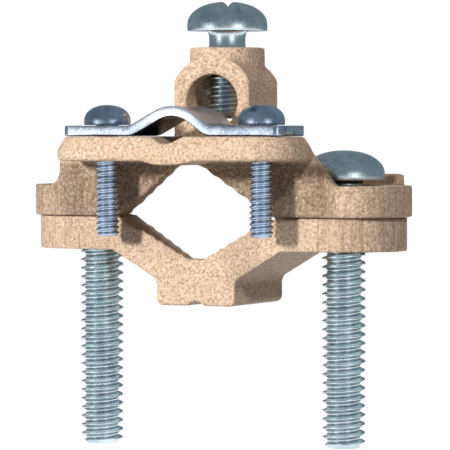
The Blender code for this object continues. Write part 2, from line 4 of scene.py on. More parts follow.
import bmesh
import bpy
import numpy as np
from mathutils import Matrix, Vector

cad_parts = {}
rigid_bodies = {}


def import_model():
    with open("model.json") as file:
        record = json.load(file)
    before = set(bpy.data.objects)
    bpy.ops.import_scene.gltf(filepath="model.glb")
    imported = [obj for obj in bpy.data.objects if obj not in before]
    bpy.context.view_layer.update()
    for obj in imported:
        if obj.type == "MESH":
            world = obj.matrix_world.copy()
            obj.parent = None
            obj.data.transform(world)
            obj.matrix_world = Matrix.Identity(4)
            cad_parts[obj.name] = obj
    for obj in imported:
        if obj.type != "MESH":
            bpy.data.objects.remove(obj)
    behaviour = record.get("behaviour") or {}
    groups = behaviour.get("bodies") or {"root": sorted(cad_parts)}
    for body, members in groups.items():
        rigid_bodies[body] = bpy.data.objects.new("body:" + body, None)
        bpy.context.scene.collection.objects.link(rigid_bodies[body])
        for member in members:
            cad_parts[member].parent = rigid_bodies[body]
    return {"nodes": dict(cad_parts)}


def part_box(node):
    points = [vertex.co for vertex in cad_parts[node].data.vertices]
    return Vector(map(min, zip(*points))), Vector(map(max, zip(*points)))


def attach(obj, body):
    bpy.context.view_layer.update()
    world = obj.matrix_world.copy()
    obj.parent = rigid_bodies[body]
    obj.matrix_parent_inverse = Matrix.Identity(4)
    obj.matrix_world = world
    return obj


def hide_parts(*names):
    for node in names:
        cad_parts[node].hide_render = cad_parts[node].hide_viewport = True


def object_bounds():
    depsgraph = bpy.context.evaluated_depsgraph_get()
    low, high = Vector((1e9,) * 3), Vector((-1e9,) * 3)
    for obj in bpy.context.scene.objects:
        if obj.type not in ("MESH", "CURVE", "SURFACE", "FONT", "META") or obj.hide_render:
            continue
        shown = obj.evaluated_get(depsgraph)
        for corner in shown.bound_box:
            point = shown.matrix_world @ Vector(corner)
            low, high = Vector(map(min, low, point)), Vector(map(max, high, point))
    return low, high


for leftover in list(bpy.data.objects):
    bpy.data.objects.remove(leftover)
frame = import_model()
solids_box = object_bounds()

# Lower jaw: a sand-cast bronze bar with two ears, a V seat for the pipe and a pad under it.
# The mould leaves its grain on every face and rounds the edges, and the two long screws
# are threaded straight into the ears.
MM = 0.001
WELD = 1e-6
LOWER_CELL = 0.24 * MM
LOWER_ROUNDING = 7
LOWER_SEED = 11
SAND_LATTICE = 64
SAND_DEPTH = 0.07 * MM
SAND_SIZES = ((2.6 * MM, 0.3), (1.0 * MM, 0.35), (0.55 * MM, 0.35))
EDGE_SPREAD = 3
EDGE_FULL = 0.03 * MM
PARTING_LEVELS = (0, 0.15 * MM, 0.75 * MM, 1.6 * MM)
PARTING_DRAWN = (0, 0.1 * MM, 0.14 * MM, 1.6 * MM)
PARTING_FLAT = 0.98
SEAT_TIP = 13.6 * MM
# The dark bronze colour is both the grain's brown and the painted shade in the hollows.
BRONZE_DARK_AND_SHADE = (0.22, 0.125, 0.07)
BRONZE_BODY = (0.57, 0.40, 0.275)
BRONZE_LIGHT = (0.80, 0.61, 0.46)
# Painted glints: a near-white colour for specks on the fine grain.
BRONZE_GLINT = (0.96, 0.88, 0.78)
# Painted shade below the upper jaw's shelf: its grey-brown colour, its top and fade, and where it
# weakens and ends across the jaw.
BRONZE_SHELF_SHADE = (0.52, 0.52, 0.50)
SHELF_SHADE_TOP = 7.9 * MM
SHELF_SHADE_FADE = 0.7 * MM
SHELF_SHADE_LEFT_EDGE = -21.0 * MM
SHELF_SHADE_LEFT_SHARE = 0.55
SHELF_SHADE_RIGHT_EDGE = 20.0 * MM
GRAIN_PER_METRE = 2700
ROUGH_PER_METRE = 2000
FINE_GRAIN_PER_METRE = 5200
CLOUDS_PER_METRE = 260
GRINDING_PER_METRE = 2400
GRINDING_STRETCH = (1.0, 1.0, 0.06)
GROUND_FROM = 16.5 * MM
GROUND_FADE = 2 * MM
BRONZE_RELIEF = 0.17 * MM
UNDER_SHELF_RELIEF = 0.30 * MM


def lattice_noise(points, size, seed):
    """Smooth heights from -1 to 1: each corner of a cubic lattice gets a random height,
    and a point blends the eight corners of its cube by the smoothed shares of its place."""
    table = np.random.default_rng(seed).uniform(-1, 1, (SAND_LATTICE,) * 3)
    place = points / size
    cell = np.floor(place).astype(int)
    share = place - cell
    share = share * share * (3 - 2 * share)
    total = np.zeros(len(points))
    for corner in np.ndindex(2, 2, 2):
        weight = np.prod(np.where(np.array(corner) == 1, share, 1 - share), axis=1)
        index = (cell + corner) % SAND_LATTICE
        total += weight * table[index[:, 0], index[:, 1], index[:, 2]]
    return total


def neighbour_mean(values, edges):
    """Average of each vertex's neighbours along the mesh's edges, column by column."""
    count = len(values)
    ends = np.concatenate((edges[:, 0], edges[:, 1]))
    others = np.concatenate((edges[:, 1], edges[:, 0]))
    number = np.maximum(np.bincount(ends, minlength=count), 1)
    columns = [np.bincount(ends, column[others], minlength=count) for column in values.T]
    return np.stack(columns, axis=1) / number[:, None]


def add_object(name, data):
    """Put an object with this mesh, lamp or camera into the scene."""
    made = bpy.data.objects.new(name, data)
    bpy.context.scene.collection.objects.link(made)
    return made


def merged_copy(node, name):
    """Return an object with a copy of a solid's mesh whose loose triangles are merged."""
    mesh = frame["nodes"][node].data.copy()
    mesh.name = name
    mesh.materials.clear()
    build = bmesh.new()
    build.from_mesh(mesh)
    bmesh.ops.remove_doubles(build, verts=build.verts, dist=WELD)
    build.to_mesh(mesh)
    build.free()
    return add_object(name, mesh)


def settle(piece):
    """Swap a piece's mesh for the one that its modifiers give, and drop the modifiers."""
    evaluated = piece.evaluated_get(bpy.context.evaluated_depsgraph_get())
    mesh = bpy.data.meshes.new_from_object(evaluated)
    piece.modifiers.clear()
    piece.data = mesh
    mesh.name = piece.name
    mesh.shade_smooth()
    return mesh


def vertex_arrays(mesh):
    """A mesh's points and their normals, and its edges as pairs of vertex numbers."""
    points = np.empty(len(mesh.vertices) * 3)
    normals = np.empty(len(mesh.vertices) * 3, np.float32)
    edges = np.empty(len(mesh.edges) * 2, np.int32)
    mesh.vertices.foreach_get("co", points)
    mesh.vertex_normals.foreach_get("vector", normals)
    mesh.edges.foreach_get("vertices", edges)
    return points.reshape(-1, 3), normals.reshape(-1, 3), edges.reshape(-1, 2)


def drawn_to_parting(points, normals):
    """New heights for points near the parting plane, where z is 0. Smoothing has rounded the
    edges of the two meeting faces. So a height below the last parting level is drawn in along
    a broken line, and put almost on the plane where a face lies flat on the other jaw and at
    the seat's tips. The jaws then meet in a thin dark groove."""
    z = points[:, 2]
    level = np.abs(z)
    drawn = np.interp(level, PARTING_LEVELS, PARTING_DRAWN)
    flush = (np.abs(normals[:, 2]) > PARTING_FLAT) | (np.abs(points[:, 0]) < SEAT_TIP)
    drawn = np.where(flush & (level < PARTING_LEVELS[2]), WELD, drawn)
    return np.where(level < PARTING_LEVELS[-1], np.copysign(drawn, z), z)


def sand_cast(node, cell, rounding, seed):
    """Return a jaw as its mould leaves it. A solid's copy is cut into even cells and smoothed
    until its edges are round. Each vertex then sinks along its normal by a sum of lattice
    noises, and keeps in the attribute edge how far it stands out from its neighbours."""
    piece = merged_copy(node, f"{node}_casting")
    remesh = piece.modifiers.new("even cells", "REMESH")
    remesh.mode = "VOXEL"
    remesh.voxel_size = cell
    smooth = piece.modifiers.new("rounded edges", "SMOOTH")
    smooth.factor = 0.5
    smooth.iterations = rounding
    mesh = settle(piece)
    points, normals, edges = vertex_arrays(mesh)
    stand = ((points - neighbour_mean(points, edges)) * normals).sum(axis=1, keepdims=True)
    for _ in range(EDGE_SPREAD):
        stand = neighbour_mean(stand, edges)
    edge = np.clip(stand[:, 0] / EDGE_FULL, -1, 1).astype(np.float32)
    mesh.attributes.new("edge", "FLOAT", "POINT").data.foreach_set("value", edge)
    height = sum(share * lattice_noise(points, size, seed + index)
                 for index, (size, share) in enumerate(SAND_SIZES))
    points -= normals * (SAND_DEPTH * (0.5 - 0.5 * height))[:, None]
    points[:, 2] = drawn_to_parting(points, normals)
    mesh.vertices.foreach_set("co", points.astype(np.float32).ravel())
    mesh.update()
    return piece


class Link:
    """A shader socket on which Python's operators add Math nodes."""

    def __init__(self, finish, socket):
        self.finish = finish
        self.socket = socket

    def maths(self, operation, *others):
        sockets = dict(enumerate((self, *others)))
        return self.finish.node("ShaderNodeMath", {"operation": operation}, sockets)

    def __add__(self, other):
        return self.maths("ADD", other)

    __radd__ = __add__

    def __mul__(self, other):
        return self.maths("MULTIPLY", other)

    __rmul__ = __mul__

    def __abs__(self):
        return self.maths("ABSOLUTE")


class Finish:
    """The nodes of a material or of the room around it. node() adds any node, shade() feeds
    the shader that is there from the start, and the other methods are node()'s common uses."""

    def __init__(self, owner, shader="Principled BSDF"):
        owner.use_nodes = True
        self.owner = owner
        self.tree = owner.node_tree
        self.shader = self.tree.nodes[shader]

    def node(self, kind, settings=None, sockets=None, output=0):
        """Add a node: its settings first, then the values or links of its sockets."""
        made = self.tree.nodes.new(kind)
        for key, value in (settings or {}).items():
            setattr(made, key, value)
        self.feed(made, sockets or {})
        return Link(self, made.outputs[output])

    def feed(self, made, sockets):
        """Link a node's sockets, or set their values, with a full alpha added to a colour."""
        for key, value in sockets.items():
            socket = made.inputs[key]
            if isinstance(value, Link):
                self.tree.links.new(value.socket, socket)
            elif socket.type == "RGBA":
                socket.default_value = (*value, 1.0)
            else:
                socket.default_value = value

    def place(self):
        return self.node("ShaderNodeTexCoord", output="Object")

    def along(self, axis, vector):
        """What a vector measures along one axis."""
        return self.node("ShaderNodeSeparateXYZ", sockets={"Vector": vector}, output=axis)

    def noise(self, place, scale, detail, roughness, stretch=None):
        """Cloudy values round 0.5, drawn out along the axes where stretch is below 1."""
        if stretch:
            place = self.node("ShaderNodeMapping", sockets={"Vector": place, "Scale": stretch})
        sockets = {"Vector": place, "Scale": scale, "Detail": detail, "Roughness": roughness}
        return self.node("ShaderNodeTexNoise", sockets=sockets)

    def step(self, value, low, high, bottom=0.0, top=1.0):
        """Smoothly raise a value's range from low to high into bottom to top."""
        settings = {"interpolation_type": "SMOOTHSTEP", "clamp": True}
        sockets = {"Value": value, 1: low, 2: high, 3: bottom, 4: top}
        return self.node("ShaderNodeMapRange", settings, sockets)

    def mix(self, share, first, second, blend="MIX"):
        settings = {"data_type": "RGBA", "blend_type": blend}
        return self.node("ShaderNodeMix", settings, {0: share, 6: first, 7: second}, output=2)

    def relief(self, height, distance=1.0, strength=1.0):
        """Normals bent as if the surface stood out by height times distance, in metres."""
        sockets = {"Strength": strength, "Distance": distance, "Height": height}
        return self.node("ShaderNodeBump", sockets=sockets)

    def shade(self, **sockets):
        self.feed(self.shader, {key.replace("_", " "): value for key, value in sockets.items()})
        return self.owner


def cast_bronze(name, shade_below_shelf):
    """Sand-cast bronze: a tan skin of coarse grains, pale where they stand up and brown
    between them, with painted bright glints and with painted shade in the hollows. The ears'
    ends are ground, which leaves faint upright marks. The faces below the shelf have a coarser
    grain and a painted grey-brown shade, as strong as the second argument says, weaker on the
    left ear's end and gone from the right one's."""
    finish = Finish(bpy.data.materials.new(name))
    place = finish.place()
    across = finish.along("X", place)
    level = finish.along("Z", place)
    ground = finish.noise(place, GRINDING_PER_METRE, 2.0, 0.6, GRINDING_STRETCH)
    coarse = finish.noise(place, GRAIN_PER_METRE, 2.5, 0.6)
    fine = finish.noise(place, FINE_GRAIN_PER_METRE, 2.0, 0.5)
    cloud = finish.noise(place, CLOUDS_PER_METRE, 3.0, 0.6)
    rough = finish.noise(place, ROUGH_PER_METRE, 3.0, 0.55)
    edge = finish.node("ShaderNodeAttribute", {"attribute_name": "edge"}, output="Fac")
    stood_up = finish.step(coarse, 0.46, 0.66) * finish.step(cloud, 0.3, 0.7, 0.5, 1.0)
    colour = finish.mix(finish.step(coarse, 0.26, 0.5, 0.3, 1.0), BRONZE_DARK_AND_SHADE, BRONZE_BODY)
    colour = finish.mix(stood_up, colour, BRONZE_LIGHT)
    # Painted glints: near-white specks where the fine grain peaks.
    colour = finish.mix(finish.step(fine, 0.62, 0.74, 0.0, 0.7), colour, BRONZE_GLINT)
    outer = finish.step(abs(across), GROUND_FROM, GROUND_FROM + GROUND_FADE, 0.0, 0.4)
    colour = finish.mix(finish.step(ground, 0.54, 0.36) * outer, colour, BRONZE_DARK_AND_SHADE)
    # Painted shade below the shelf: a grey-brown darkening of the faces under the shelf's level,
    # weaker on the left ear's end and none on the right one's, with a coarser grain there.
    share = finish.step(level, SHELF_SHADE_TOP, SHELF_SHADE_TOP - SHELF_SHADE_FADE, 0.0, shade_below_shelf)
    share *= finish.step(across, SHELF_SHADE_LEFT_EDGE - MM, SHELF_SHADE_LEFT_EDGE + MM, SHELF_SHADE_LEFT_SHARE)
    share *= finish.step(across, SHELF_SHADE_RIGHT_EDGE + 2 * MM, SHELF_SHADE_RIGHT_EDGE)
    colour = finish.mix(share, colour, BRONZE_SHELF_SHADE, "MULTIPLY")
    colour = finish.mix(finish.step(rough, 0.5, 0.36, 0.0, 0.8) * share, colour, BRONZE_DARK_AND_SHADE)
    colour = finish.mix(finish.step(rough, 0.54, 0.66, 0.0, 0.4) * share, colour, BRONZE_LIGHT)
    # Painted shade: the hollows, where the attribute edge is below zero, are darkened towards the
    # dark bronze.
    colour = finish.mix(finish.step(edge, -0.1, -0.8, 0.0, 0.6), colour, BRONZE_DARK_AND_SHADE)
    height = (coarse * 0.7 + fine * 0.3) * BRONZE_RELIEF + rough * share * UNDER_SHELF_RELIEF
    return finish.shade(Base_Color=colour, Metallic=0.1, Specular_IOR_Level=0.3,
                        Roughness=finish.step(coarse, 0.3, 0.7, 0.66, 0.48),
                        Normal=finish.relief(height))


lower_jaw = sand_cast("lower_jaw", LOWER_CELL, LOWER_ROUNDING, LOWER_SEED)
lower_jaw.data.materials.append(cast_bronze("cast_bronze_without_shelf_shade", 0.0))
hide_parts("lower_jaw")
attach(lower_jaw, "lower_jaw_body")

# Upper jaw: one bronze casting too, with head pockets on its ears, the shelf for the cable
# in front and the lug for the earth wire on its crown. Its bores are drilled after casting.
UPPER_CELL = 0.28 * MM
UPPER_ROUNDING = 6
UPPER_SEED = 47
# How strong the painted shade below the shelf is on the upper jaw.
UPPER_SHELF_SHADE = 0.85

upper_jaw = sand_cast("upper_jaw", UPPER_CELL, UPPER_ROUNDING, UPPER_SEED)
upper_jaw.data.materials.append(cast_bronze("cast_bronze_with_shelf_shade", UPPER_SHELF_SHADE))
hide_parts("upper_jaw")
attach(upper_jaw, "upper_jaw_body")

# Long screws: zinc-plated steel machine screws with a rolled 1/4-20 thread and a slotted
# round head. Each hangs in a pocket of the upper jaw and pulls the lower jaw up.
INCH = 25.4 * MM
COARSE_PITCH = INCH / 20
MAIN_CREST = 3.08 * MM
MAIN_ROOT = 2.38 * MM
MAIN_NECK = 2.6 * MM
MAIN_NECK_LENGTH = 1.2 * MM
MAIN_SLOT_WIDTH = 1.75 * MM
MAIN_SLOT_DEPTH = 2.0 * MM
MAIN_HEAD_HEIGHT = 4.4 * MM
MAIN_GRID = (20, 12)
LEFT_SLOT_DEGREES = 70
RIGHT_SLOT_DEGREES = 24
HEAD_RIM_SHARE = 0.18
HEAD_HEIGHT_KEPT = 0.955
HEAD_CROWN = 0.92
HEAD_UNDERSIDE = ((1.0, 0.35), (0.985, 0.0), (0.9, 0.0))
SLOT_WEAR = 0.09 * MM
SLOT_WALL_SHARES = (1.0, 1.0, 0.93)
SLOT_WALL_DROPS = (0.07, 0.97, 1.0)
SLOT_FLOOR_SHARE = 0.8
SLOT_FLOOR_COLUMNS = 5
THREAD_SHARES = (0.0, 0.07, 0.38, 0.64, 0.93, 1.0)
THREAD_HEIGHTS = (1, 1, 0, 0, 1, 1)
THREAD_ROUNDING = 0.06
THREAD_RUN_IN = 0.8
NECK_FILLET_SHARE = 0.14
TIP_SHARE = 0.93
SCREW_SHARP_DEGREES = 38
ZINC_DARK = (0.46, 0.56, 0.61)
ZINC_BODY = (0.66, 0.76, 0.79)
ZINC_LIGHT = (0.84, 0.90, 0.91)
ZINC_ROUGHNESS = 0.22
ZINC_CLOUDS_PER_METRE = 420
ZINC_SPECKS_PER_METRE = 4200
ZINC_RELIEF = 0.03 * MM


def mesh_piece(name, points, faces, sharp_degrees):
    """Make an object from whole arrays, welding what coincides and turning faces outwards."""
    mesh = bpy.data.meshes.new(name)
    mesh.from_pydata(points.tolist(), [], faces.tolist())
    build = bmesh.new()
    build.from_mesh(mesh)
    bmesh.ops.remove_doubles(build, verts=build.verts, dist=WELD)
    bmesh.ops.dissolve_degenerate(build, edges=build.edges, dist=WELD)
    bmesh.ops.recalc_face_normals(build, faces=build.faces)
    build.to_mesh(mesh)
    build.free()
    mesh.shade_smooth()
    mesh.set_sharp_from_angle(angle=math.radians(sharp_degrees))
    return add_object(name, mesh)


def grid_faces(rows, columns):
    """Quads of a grid whose points run row by row, as one array of vertex numbers."""
    start = np.arange(rows - 1)[:, None] * columns + np.arange(columns - 1)[None, :]
    start = start.ravel()
    return np.stack((start, start + 1, start + 1 + columns, start + columns), axis=1)


def across_head(radius, slot_half_width, count):
    """Angles across a head, from -90 to 90 degrees, and how far each of these columns has
    dropped to the slot's floor. Each wall of the slot has one column at its top, one at its
    foot and one on the floor beside it, and the worn lip begins a little outside it."""
    wall = math.asin(slot_half_width / radius)
    lip = math.asin((slot_half_width + SLOT_WEAR) / radius)
    outer = np.linspace(-math.pi / 2, -lip, count)
    side = -wall * np.array(SLOT_WALL_SHARES)
    floor = np.linspace(-wall, wall, SLOT_FLOOR_COLUMNS) * SLOT_FLOOR_SHARE
    angles = np.concatenate((outer, side, floor, -side[::-1], -outer[::-1]))
    uncut = np.zeros(count)
    drop = np.concatenate((uncut, SLOT_WALL_DROPS, np.ones(SLOT_FLOOR_COLUMNS),
                           SLOT_WALL_DROPS[::-1], uncut))
    return angles, drop


def slotted_head(angles, drop, radius, height, slot_depth, neck, rows):
    """A round head on its seat at z = 0. Rows run along the slot and columns across it. The
    dome stands on a short rim and is a quarter of an ellipse turned about the axis, with its
    sine and cosine raised to the crown's power. The columns of the slot are cut off at its
    floor, and more rows on each side carry the skin round the rim and in to the neck."""
    rim = HEAD_RIM_SHARE * height
    rise = height * HEAD_HEIGHT_KEPT - rim
    along = np.linspace(-math.pi / 2, math.pi / 2, rows)
    rim_x = radius * np.sin(angles)
    rim_y = radius * np.cos(angles)
    plan_x = rim_x[None, :] * np.ones((rows, 1))
    plan_y = rim_y[None, :] * np.sin(along)[:, None]
    spread = 1 - (np.cos(angles)[None, :] * np.cos(along)[:, None]) ** 2
    dome = rim + rise * (1 - spread ** (1 / HEAD_CROWN)) ** (HEAD_CROWN / 2)
    z = dome * (1 - drop) + np.minimum(dome, height - slot_depth) * drop
    underside = (*HEAD_UNDERSIDE, (neck / radius, 0.0))
    front, back = [[(rim_x * share, side * rim_y * share, np.full_like(rim_x, rim * level))
                    for share, level in underside] for side in (-1, 1)]
    grid = front[::-1] + list(zip(plan_x, plan_y, z)) + back
    points = np.array([np.stack(row, axis=1) for row in grid])
    return points.reshape(-1, 3), grid_faces(len(grid), len(angles))


def threaded_shank(angles, length, neck, neck_length, thread, rows_per_pitch):
    """A right-hand thread below z = 0. Every row of the grid is one turn of a helix, which
    rises by a pitch from its first column to its last. A row's radius depends on its share of
    the pitch: a crest, a flank, a root and a flank, a little rounded. Above the thread the
    rows stay on the neck, with a fillet at both of its ends. At the tip they follow a
    45-degree chamfer, and past it they close on the axis."""
    crest, root, pitch = thread
    loop = np.concatenate((angles - math.pi / 2, (math.pi / 2 - angles)[::-1]))
    turn = (loop + math.pi) / math.tau
    step = pitch / rows_per_pitch
    rows = int(length / step) + 2 * rows_per_pitch + 2
    number = np.arange(rows)
    z = pitch * turn[None, :] - number[:, None] * step
    share = (number % rows_per_pitch) / rows_per_pitch
    flank = np.interp(share, THREAD_SHARES, THREAD_HEIGHTS)
    form = root + (crest - root) * (flank - THREAD_ROUNDING * np.sin(math.tau * flank))
    run_in = np.clip((-z - neck_length) / (THREAD_RUN_IN * pitch), 0, 1)
    fillet = NECK_FILLET_SHARE * neck
    from_ends = np.minimum(-z, neck_length + z)
    waist = neck + fillet * np.exp(-np.maximum(from_ends, 0) / fillet)
    radius = waist + (form[:, None] - waist) * run_in
    tip = root * TIP_SHARE
    radius = np.minimum(radius, tip + np.maximum(z + length, 0))
    past = np.clip((-length - z) / pitch, 0, 1)
    radius = np.where(z < -length, tip * (1 - past), radius)
    radius = np.where(z > 0, neck, radius)
    z = np.clip(z, -length, 0)
    points = np.stack((radius * np.cos(loop), radius * np.sin(loop), z), axis=2)
    return points.reshape(-1, 3), grid_faces(rows, len(loop))


def machine_screw(node, kind, slot_degrees, neck_length):
    """Return a slotted screw in the place of its solid, with head and shank as one skin. Its
    kind is a head height, a slot's width and depth, a neck radius, a thread's crest radius,
    root radius and pitch, and the grid's columns beside the slot and rows in a pitch."""
    head_height, (slot_width, slot_depth), neck, thread, (columns, rows_per_pitch) = kind
    low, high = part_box(node)
    radius = (high.x - low.x) / 2
    length = high.z - low.z - head_height
    angles, drop = across_head(radius, slot_width / 2, columns)
    head, head_faces = slotted_head(
        angles, drop, radius, head_height, slot_depth, neck, 2 * columns)
    shank, shank_faces = threaded_shank(
        angles, length, neck, neck_length, thread, rows_per_pitch)
    points = np.concatenate((head, shank))
    faces = np.concatenate((head_faces, shank_faces + len(head)))
    turn = math.radians(slot_degrees - 90)
    x = points[:, 0] * math.cos(turn) - points[:, 1] * math.sin(turn)
    y = points[:, 0] * math.sin(turn) + points[:, 1] * math.cos(turn)
    seat = high.z - head_height
    centre = (low + high) / 2
    placed = np.stack((x + centre.x, y + centre.y, points[:, 2] + seat), axis=1)
    return mesh_piece(f"{node}_threaded", placed, faces, SCREW_SHARP_DEGREES)


def zinc_plate(name, dark, body, light, roughness):
    """Zinc plate on rolled steel: a soft grey-blue skin with faint clouds and fine specks,
    which are paler, a little rougher and stand up."""
    finish = Finish(bpy.data.materials.new(name))
    place = finish.place()
    cloud = finish.noise(place, ZINC_CLOUDS_PER_METRE, 4.0, 0.6)
    speck = finish.noise(place, ZINC_SPECKS_PER_METRE, 3.0, 0.6)
    colour = finish.mix(finish.step(cloud, 0.3, 0.7), dark, body)
    colour = finish.mix(finish.step(speck, 0.55, 0.75, 0.0, 0.6), colour, light)
    return finish.shade(Base_Color=colour, Metallic=1.0,
                        Roughness=finish.step(speck, 0.3, 0.7, roughness, roughness + 0.12),
                        Normal=finish.relief(speck, ZINC_RELIEF, 0.5))


zinc = zinc_plate("zinc_plate", ZINC_DARK, ZINC_BODY, ZINC_LIGHT, ZINC_ROUGHNESS)
quarter_inch = (MAIN_HEAD_HEIGHT, (MAIN_SLOT_WIDTH, MAIN_SLOT_DEPTH), MAIN_NECK,
                (MAIN_CREST, MAIN_ROOT, COARSE_PITCH), MAIN_GRID)
for side, slot_degrees in (("left", LEFT_SLOT_DEGREES), ("right", RIGHT_SLOT_DEGREES)):
    node = f"main_screw_{side}"
    screw = machine_screw(node, quarter_inch, slot_degrees, MAIN_NECK_LENGTH)
    screw.data.materials.append(zinc)
    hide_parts(node)
    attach(screw, f"{node}_body")

# Wire screw: the same kind of screw, half an inch long. It is run down through the lug's
# collar and presses the earth wire against the floor of the bore.
WIRE_NECK_LENGTH = 2.9 * MM
WIRE_SLOT_DEGREES = -52

wire_screw = machine_screw("wire_set_screw", quarter_inch, WIRE_SLOT_DEGREES, WIRE_NECK_LENGTH)
wire_screw.data.materials.append(zinc)
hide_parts("wire_set_screw")
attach(wire_screw, "wire_set_screw_body")

# Cable strap: a strip of bright zinc-plated steel, sheared to length, punched at both ends
# and bent up in the middle over the cable. Its sheared edges are a little rounded.
STRAP_THICKNESS = 1.47 * MM
STRAP_SETTLED = 0.185 * MM
STRAP_EDGE_RADIUS = 0.24 * MM
STRAP_CORNER_RADIUS = 1.05 * MM
STRAP_HOLE_RADIUS = 2.0 * MM
STRAP_HOLE_SIDES = 48
STRAP_SCREW_SPACING = 23.8 * MM
STRAP_ROW_SPACING = 0.16 * MM
STRAP_COLUMNS = 41
STRAP_SHARP_DEGREES = 40
HUMP_LEFT_FOOT = -5.9 * MM
HUMP_RIGHT_FOOT = 5.35 * MM
HUMP_PEAK = (0.67 * MM, 3.53 * MM)
HUMP_CREST_RADIUS = 4.3 * MM
HUMP_FOOT_RADIUS = 3.0 * MM
HUMP_ARC_POINTS = 25
HUMP_HIGHLIGHT_FROM = 12.9 * MM
HUMP_HIGHLIGHT_TO = 14.4 * MM
STEEL_SHADE = (0.05, 0.065, 0.11)
STEEL_DARK = (0.22, 0.28, 0.38)
STEEL_BODY = (0.52, 0.60, 0.70)
STEEL_SCRATCH_AND_HIGHLIGHT = (0.96, 0.97, 0.99)
STEEL_TOP_SHADE = (0.52, 0.50, 0.55)
STEEL_TOP_METALLIC = 0.5
STEEL_CLOUDS_PER_METRE = 700
SCRATCHES_PER_METRE = 5200
SCRATCH_STRETCH = (1.0, 0.12, 1.0)


def unit(vectors):
    """Vectors of length one that point the same way."""
    return vectors / np.linalg.norm(vectors, axis=-1, keepdims=True)


def bent_line(low, high):
    """The strap's underside from end to end as evenly spaced (x, z) points, and how far along
    it each one is: straight runs whose corners are replaced by the arcs that touch both sides
    of each corner."""
    feet = ((HUMP_LEFT_FOOT, 0), HUMP_PEAK, (HUMP_RIGHT_FOOT, 0))
    corners = np.array([(low.x, 0), *feet, (high.x, 0)])
    corners[:, 1] += low.z
    line = [corners[:1]]
    radii = (HUMP_FOOT_RADIUS, HUMP_CREST_RADIUS, HUMP_FOOT_RADIUS)
    for before, corner, after, radius in zip(corners, corners[1:], corners[2:], radii):
        towards_before = unit(before - corner)
        towards_after = unit(after - corner)
        half = math.acos(towards_before @ towards_after) / 2
        middle = unit(towards_before + towards_after)
        side = unit(towards_after - towards_before)
        centre = corner + middle * radius / math.sin(half)
        turn = np.linspace(-1, 1, HUMP_ARC_POINTS)[:, None] * (math.pi / 2 - half)
        line.append(centre + radius * (side * np.sin(turn) - middle * np.cos(turn)))
    line.append(corners[-1:])
    line = np.concatenate(line)
    run = np.concatenate(([0], np.cumsum(np.linalg.norm(np.diff(line, axis=0), axis=1))))
    even = np.linspace(0, run[-1], int(run[-1] / STRAP_ROW_SPACING))
    return np.stack([np.interp(even, run, line[:, axis]) for axis in (0, 1)], axis=1), even


def bent_strap(name):
    """The strap as one profile carried along its bent line. The profile is a flat bar whose
    half thickness falls off in a quarter circle near the plan's outline, and its half width
    shrinks along a quarter circle at each end."""
    low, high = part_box("cable_strap")
    low.z -= STRAP_SETTLED
    line, run = bent_line(low, high)
    slope = unit(np.gradient(line, axis=0))
    normal = np.stack((-slope[:, 1], slope[:, 0]), axis=1)
    from_end = np.minimum(run, run[-1] - run)
    inset = np.maximum(STRAP_CORNER_RADIUS - from_end, 0)
    half_width = (high.y - low.y) / 2
    reach = half_width - STRAP_CORNER_RADIUS + np.sqrt(STRAP_CORNER_RADIUS**2 - inset**2)
    share = np.sin(np.linspace(-math.pi / 2, math.pi / 2, STRAP_COLUMNS))
    across = reach[:, None] * share[None, :]
    corner = np.maximum(np.abs(across) - half_width + STRAP_CORNER_RADIUS, 0)
    from_corner = STRAP_CORNER_RADIUS - np.hypot(corner, inset[:, None])
    depth = np.minimum(from_corner, from_end[:, None])
    depth = np.minimum(np.where(corner > 0, from_corner, depth), half_width - np.abs(across))
    lack = np.clip(STRAP_EDGE_RADIUS - depth, 0, STRAP_EDGE_RADIUS)
    edge_height = np.sqrt(STRAP_EDGE_RADIUS**2 - lack**2)
    half_height = STRAP_THICKNESS / 2 - STRAP_EDGE_RADIUS + edge_height
    section = np.concatenate((across, across[:, ::-1], across[:, :1]), axis=1)
    skin = np.concatenate((-half_height, half_height[:, ::-1], -half_height[:, :1]), axis=1)
    level = STRAP_THICKNESS / 2 + skin
    x = line[:, :1] + normal[:, :1] * level
    z = line[:, 1:] + normal[:, 1:] * level
    y = (low.y + high.y) / 2 + section
    points = np.stack((x, y, z), axis=2).reshape(-1, 3)
    columns = section.shape[1]
    bottom = np.arange(STRAP_COLUMNS - 1)
    above = 2 * STRAP_COLUMNS - 1 - bottom
    cap = np.stack((bottom, bottom + 1, above - 1, above), axis=1)
    far_cap = cap[:, ::-1] + (len(line) - 1) * columns
    faces = np.concatenate((grid_faces(len(line), columns), cap, far_cap))
    return mesh_piece(name, points, faces, STRAP_SHARP_DEGREES)


def punch(piece, x, y, radius, low_z, high_z):
    """Cut a round hole along Z through a piece."""
    sides = STRAP_HOLE_SIDES
    angle = np.linspace(0, math.tau, sides + 1)[:-1]
    ring = np.stack((x + radius * np.cos(angle), y + radius * np.sin(angle)), axis=1)
    points = np.concatenate([np.column_stack((ring, np.full(sides, z))) for z in (low_z, high_z)])
    index = np.arange(sides)
    after = (index + 1) % sides
    walls = np.stack((index, after, after + sides, index + sides), axis=1).tolist()
    ends = [index[::-1].tolist(), (index + sides).tolist()]
    mesh = bpy.data.meshes.new("punch")
    mesh.from_pydata(points.tolist(), [], walls + ends)
    cutter = add_object("punch", mesh)
    cut = piece.modifiers.new("punched hole", "BOOLEAN")
    cut.operation = "DIFFERENCE"
    cut.object = cutter
    mesh = settle(piece)
    mesh.set_sharp_from_angle(angle=math.radians(STRAP_SHARP_DEGREES))
    bpy.data.objects.remove(cutter)


